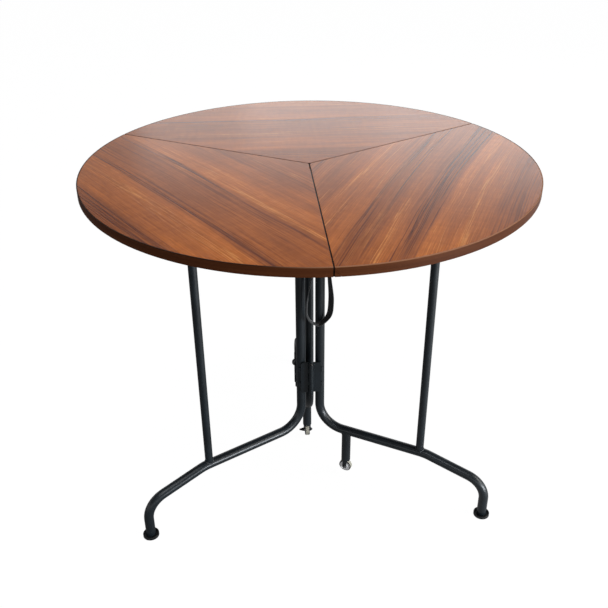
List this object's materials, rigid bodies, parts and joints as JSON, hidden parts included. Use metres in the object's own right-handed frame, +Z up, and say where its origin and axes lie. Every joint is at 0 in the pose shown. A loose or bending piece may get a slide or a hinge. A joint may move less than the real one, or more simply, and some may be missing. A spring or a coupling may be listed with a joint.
{
  "type": "folding table",
  "caption": "Round folding table: tipping leaves on hinged bent-tube frames fold up into a narrow upright bundle, with transport casters and a closing strap.",
  "frame": {"origin": "floor level under the centre of the round top", "axes": "+Z up, +Y along the back page's frame; the front seam of the top points along -Y"},
  "size_m": [0.85, 0.85, 0.727],
  "materials": {
    "laminate": "satin brown laminate on board",
    "edge_band": "dark brown edge band",
    "frame_metal": "satin dark grey coating",
    "clip_metal": "satin black coating",
    "screw_metal": "zinc",
    "dark_metal": "black",
    "black_plastic": "moulded",
    "black_rubber": "matt",
    "wheel_plastic": "moulded",
    "tyre_rubber": "matt grey beige",
    "webbing": "woven black webbing"
  },
  "bodies": {
    "left_frame": {"main_tube_left": "frame_metal", "top_rail_left": "frame_metal", "outer_upright_left": "frame_metal", "rail_plugs_left": "black_plastic", "leaf_stop_left": "frame_metal", "leaf_stop_pad_left": "black_rubber", "foot_glide_left": "black_rubber", "hinge_plate_front_on_left": "frame_metal", "hinge_plate_rear_on_left": "frame_metal", "hinge_pin_front": "dark_metal", "hinge_pin_rear": "dark_metal", "strap_button": "dark_metal"},
    "left_leaf": {"leaf_board_left": "laminate", "leaf_edge_band_left": "edge_band", "leaf_clips_left": "clip_metal", "clip_screws_left": "screw_metal"},
    "right_frame": {"main_tube_right": "frame_metal", "top_rail_right": "frame_metal", "outer_upright_right": "frame_metal", "rail_plugs_right": "black_plastic", "leaf_stop_right": "frame_metal", "leaf_stop_pad_right": "black_rubber", "foot_glide_right": "black_rubber", "caster_leg_right": "frame_metal", "caster_fork_right": "frame_metal", "caster_axle_right": "dark_metal", "caster_axle_nut_right": "dark_metal", "hinge_plate_front_on_right": "frame_metal", "strap_peg": "dark_metal", "carry_strap": "webbing"},
    "right_leaf": {"leaf_board_right": "laminate", "leaf_edge_band_right": "edge_band", "leaf_clips_right": "clip_metal", "clip_screws_right": "screw_metal"},
    "right_wheel": {"caster_wheel_right": "wheel_plastic", "caster_tyre_right": "tyre_rubber"},
    "back_frame": {"main_tube_back": "frame_metal", "top_rail_back": "frame_metal", "outer_upright_back": "frame_metal", "rail_plugs_back": "black_plastic", "leaf_stop_back": "frame_metal", "leaf_stop_pad_back": "black_rubber", "foot_glide_back": "black_rubber", "caster_leg_back": "frame_metal", "caster_fork_back": "frame_metal", "caster_axle_back": "dark_metal", "caster_axle_nut_back": "dark_metal", "hinge_plate_rear_on_back": "frame_metal"},
    "back_leaf": {"leaf_board_back": "laminate", "leaf_edge_band_back": "edge_band", "leaf_clips_back": "clip_metal", "clip_screws_back": "screw_metal"},
    "back_wheel": {"caster_wheel_back": "wheel_plastic", "caster_tyre_back": "tyre_rubber"}
  },
  "joints": [
    {"name": "right_frame_swing", "type": "hinge", "parent": "left_frame", "child": "right_frame", "pos_m": [0, -0.033, 0.254], "axis": [0, 0, -1], "range_deg": [0, 120]},
    {"name": "back_frame_swing", "type": "hinge", "parent": "left_frame", "child": "back_frame", "pos_m": [-0.02858, 0.0165, 0.254], "axis": [0, 0, 1], "range_deg": [0, 120]},
    {"name": "left_leaf_tilt", "type": "hinge", "parent": "left_frame", "child": "left_leaf", "pos_m": [-0.17321, -0.1, 0.7007], "axis": [0.866, 0.5, 0], "range_deg": [0, 90]},
    {"name": "right_leaf_tilt", "type": "hinge", "parent": "right_frame", "child": "right_leaf", "pos_m": [0.17321, -0.1, 0.7007], "axis": [-0.866, 0.5, 0], "range_deg": [0, 90]},
    {"name": "back_leaf_tilt", "type": "hinge", "parent": "back_frame", "child": "back_leaf", "pos_m": [0, 0.2, 0.7007], "axis": [0, -1, 0], "range_deg": [0, 90]},
    {"name": "right_wheel_spin", "type": "hinge", "parent": "right_frame", "child": "right_wheel", "pos_m": [0.07708, -0.0445, 0.021], "axis": [0.5, 0.866, 0], "continuous": true},
    {"name": "back_wheel_spin", "type": "hinge", "parent": "back_frame", "child": "back_wheel", "pos_m": [0, 0.089, 0.021], "axis": [-1, 0, 0], "continuous": true}
  ],
  "couplings": [
    {"joint": "back_frame_swing", "follows": "right_frame_swing", "ratio": 1},
    {"joint": "left_leaf_tilt", "follows": "right_frame_swing", "ratio": 0.75},
    {"joint": "right_leaf_tilt", "follows": "right_frame_swing", "ratio": 0.75},
    {"joint": "back_leaf_tilt", "follows": "right_frame_swing", "ratio": 0.75}
  ]
}
